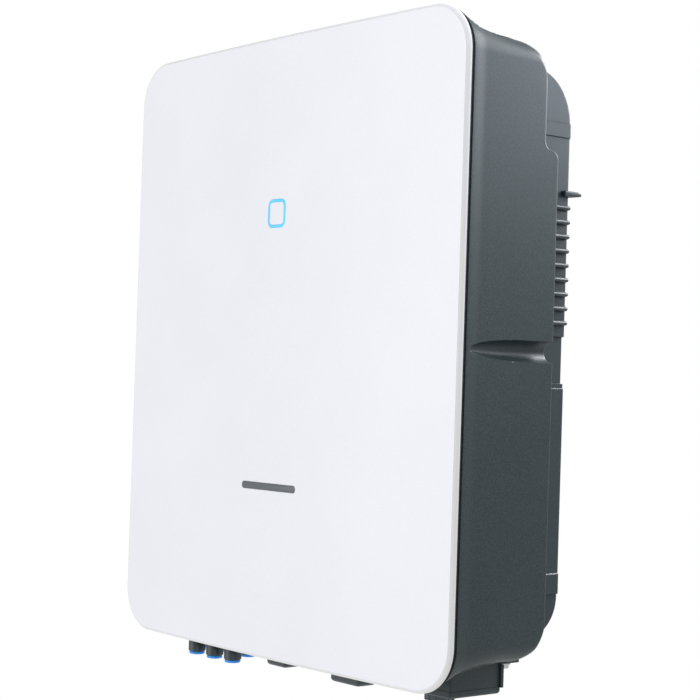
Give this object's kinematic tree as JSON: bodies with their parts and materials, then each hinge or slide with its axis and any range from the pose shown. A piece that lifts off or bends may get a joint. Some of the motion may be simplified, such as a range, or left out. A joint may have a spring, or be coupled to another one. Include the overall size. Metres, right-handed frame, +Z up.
{
  "type": "string inverter",
  "caption": "Wall-hung solar inverter: bowed white front panel on a dark cast housing, finned heat sink behind, sockets and cable box below.",
  "frame": {"origin": "centre of the hanging rail's rear face, on the wall plane", "axes": "+Z up, +X to the right seen from the front, +Y into the wall, so the front panel faces -Y"},
  "size_m": [0.46, 0.17, 0.5622],
  "materials": {
    "panel_white": "satin pearl paint",
    "cast_housing": "fine textured powder coat, dark blue grey",
    "cast_fins": "fine textured powder coat, dark blue grey",
    "rubber_black": "matte",
    "light_ring": "translucent light guide, lit blue",
    "badge_grey": "satin",
    "steel": "bright zinc",
    "plastic_black": "fine moulded texture",
    "plastic_blue": "moulded",
    "clear_plastic": "clear",
    "circuit_board": "solder mask",
    "potted_core": "potted windings in a can",
    "capacitor_sleeve": "shrink sleeve",
    "sheet_aluminium": "mill finish"
  },
  "bodies": {
    "inverter": {"front_panel": "panel_white", "status_ring": "light_ring", "badge_bar": "badge_grey", "panel_gasket": "rubber_black", "housing": "cast_housing", "panel_clip_1": "plastic_black", "panel_clip_2": "plastic_black", "panel_clip_3": "plastic_black", "panel_clip_4": "plastic_black", "light_guide": "clear_plastic", "status_board": "circuit_board", "housing_seal": "rubber_black", "heat_sink": "cast_fins", "hanger_rail": "cast_fins", "hanger_screw_1": "steel", "hanger_screw_2": "steel", "rest_pad_left": "rubber_black", "rest_pad_right": "rubber_black", "flange_screw_1": "steel", "flange_screw_2": "steel", "flange_screw_3": "steel", "flange_screw_4": "steel", "flange_screw_5": "steel", "flange_screw_6": "steel", "flange_screw_7": "steel", "flange_screw_8": "steel", "pv_socket_1": "plastic_black", "pv_socket_2": "plastic_black", "pv_socket_3": "plastic_black", "pv_socket_4": "plastic_black", "pv_socket_5": "plastic_black", "pv_socket_6": "plastic_black", "com_cover": "plastic_black", "meter_cover": "plastic_black", "ac_box": "cast_housing", "ac_gland": "plastic_black", "ground_bracket": "cast_housing", "ground_screw": "steel", "vent_plug": "plastic_black", "isolator_body": "plastic_black", "boost_chokes": "potted_core", "ac_chokes": "potted_core", "power_module": "plastic_black", "capacitor_bank": "capacitor_sleeve", "power_board": "circuit_board", "filter_board": "circuit_board", "board_tray": "sheet_aluminium", "control_board": "circuit_board", "comms_board": "circuit_board"},
    "isolator": {"isolator_knob": "plastic_black", "isolator_shaft": "steel"},
    "plug_1": {"pv_plug_1": "plastic_blue"},
    "plug_2": {"pv_plug_2": "plastic_blue"},
    "plug_3": {"pv_plug_3": "plastic_blue"},
    "plug_4": {"pv_plug_4": "plastic_blue"},
    "plug_5": {"pv_plug_5": "plastic_blue"},
    "plug_6": {"pv_plug_6": "plastic_blue"}
  },
  "joints": [
    {"name": "isolator_turn", "type": "hinge", "parent": "inverter", "child": "isolator", "pos_m": [-0.076, -0.11, -0.37], "axis": [0, 0, -1], "range_deg": [0, 90]},
    {"name": "plug_1_pull", "type": "slide", "parent": "inverter", "child": "plug_1", "axis": [0, 0, -1], "range_m": [0, 0.018]},
    {"name": "plug_2_pull", "type": "slide", "parent": "inverter", "child": "plug_2", "axis": [0, 0, -1], "range_m": [0, 0.018]},
    {"name": "plug_3_pull", "type": "slide", "parent": "inverter", "child": "plug_3", "axis": [0, 0, -1], "range_m": [0, 0.018]},
    {"name": "plug_4_pull", "type": "slide", "parent": "inverter", "child": "plug_4", "axis": [0, 0, -1], "range_m": [0, 0.018]},
    {"name": "plug_5_pull", "type": "slide", "parent": "inverter", "child": "plug_5", "axis": [0, 0, -1], "range_m": [0, 0.018]},
    {"name": "plug_6_pull", "type": "slide", "parent": "inverter", "child": "plug_6", "axis": [0, 0, -1], "range_m": [0, 0.018]}
  ]
}
